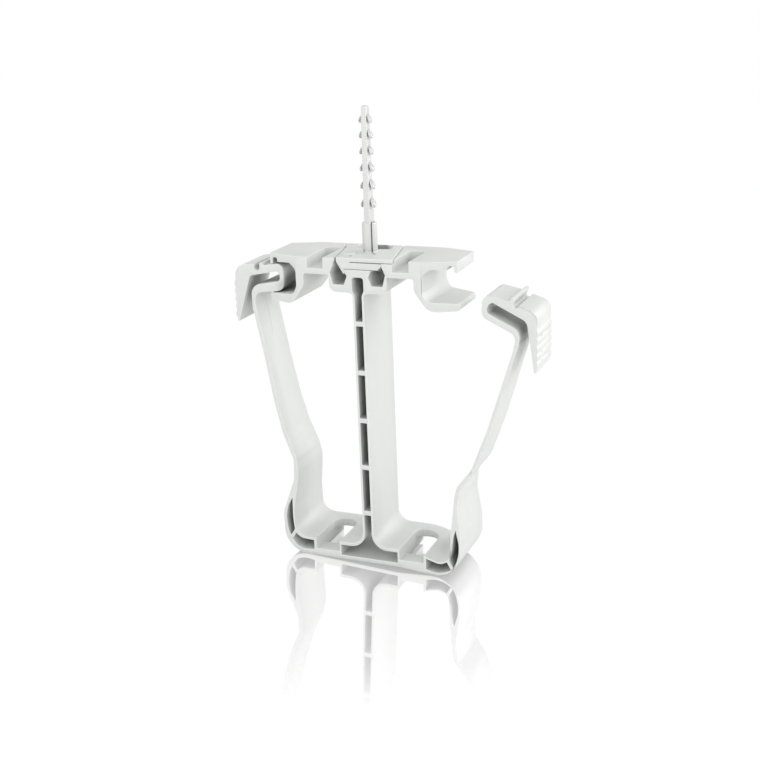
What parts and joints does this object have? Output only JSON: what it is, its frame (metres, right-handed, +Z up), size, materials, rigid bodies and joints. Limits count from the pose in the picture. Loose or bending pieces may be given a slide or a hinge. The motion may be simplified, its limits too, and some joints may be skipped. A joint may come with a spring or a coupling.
{
  "type": "cable bundle holder",
  "caption": "Tall springy cable holder with two chambers beside a hollow pillar, hooked latch arms and a barbed push-in plug on top.",
  "frame": {"origin": "middle of the flat underside of the base, below the pillar", "axes": "+Z up the pillar towards the push-in plug, X across the two chambers (the arm that stands open is at +X), Y along the depth of the moulding"},
  "size_m": [0.0897, 0.02, 0.131],
  "materials": {
    "plastic": "satin",
    "plug_plastic": "satin"
  },
  "bodies": {
    "frame_body": {"holder_frame": "plastic", "push_in_plug": "plug_plastic"},
    "left_arm_body": {"left_arm": "plastic"},
    "right_arm_body": {"right_arm": "plastic"}
  },
  "joints": [
    {"name": "left_arm_bend", "type": "hinge", "parent": "frame_body", "child": "left_arm_body", "pos_m": [-0.0229, 0, 0.026], "axis": [0, -1, 0], "range_deg": [0, 25]},
    {"name": "right_arm_bend", "type": "hinge", "parent": "frame_body", "child": "right_arm_body", "pos_m": [0.0269, 0, 0.0242], "axis": [0, 1, 0], "range_deg": [-5.5, 18], "stiffness_Nm_per_rad": 0.13}
  ]
}
